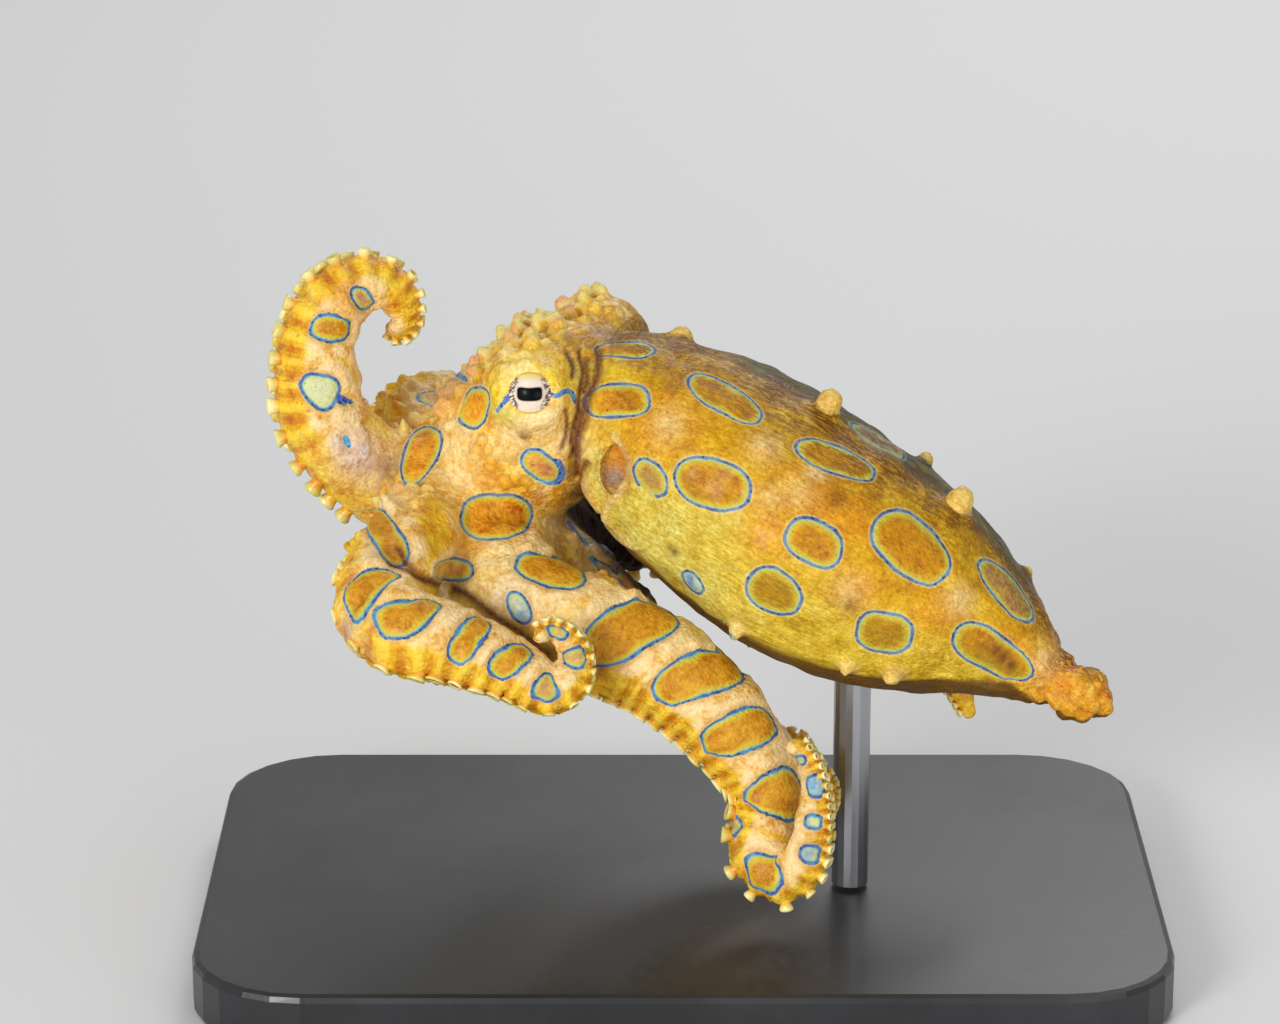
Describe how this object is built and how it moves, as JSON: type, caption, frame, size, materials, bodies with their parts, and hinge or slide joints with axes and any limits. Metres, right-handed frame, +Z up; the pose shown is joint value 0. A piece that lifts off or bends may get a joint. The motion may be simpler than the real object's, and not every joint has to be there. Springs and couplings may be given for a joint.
{
  "type": "blue ringed octopus",
  "caption": "Life-size still model of a swimming blue ringed octopus with curled arms and ringed skin, held over a flat display base by one short rod.",
  "frame": {"origin": "centre of the stand's underside, on the surface that it rests on", "axes": "+Z up; +X towards the tip of the mantle, along the base's longer side; -Y towards the animal's left side"},
  "size_m": [0.068, 0.0466, 0.0493],
  "materials": {
    "skin": "moist",
    "eye": "gloss",
    "beak": "gloss",
    "base": "satin",
    "rod": "satin"
  },
  "bodies": {
    "root": {"mantle": "skin", "head": "skin", "crown": "skin", "funnel": "skin", "eye_left": "eye", "eye_right": "eye", "mouth": "beak", "arm_left_1_base": "skin", "arm_left_1_middle": "skin", "arm_left_1_end": "skin", "arm_left_2_base": "skin", "arm_left_2_middle": "skin", "arm_left_2_end": "skin", "arm_left_3_base": "skin", "arm_left_3_middle": "skin", "arm_left_3_end": "skin", "arm_left_4_base": "skin", "arm_left_4_middle": "skin", "arm_left_4_end": "skin", "arm_right_1_base": "skin", "arm_right_1_middle": "skin", "arm_right_1_end": "skin", "arm_right_2_base": "skin", "arm_right_2_middle": "skin", "arm_right_2_end": "skin", "arm_right_3_base": "skin", "arm_right_3_middle": "skin", "arm_right_3_end": "skin", "arm_right_4_base": "skin", "arm_right_4_middle": "skin", "arm_right_4_end": "skin", "stand_base": "base", "stand_rod": "rod"}
  },
  "joints": []
}
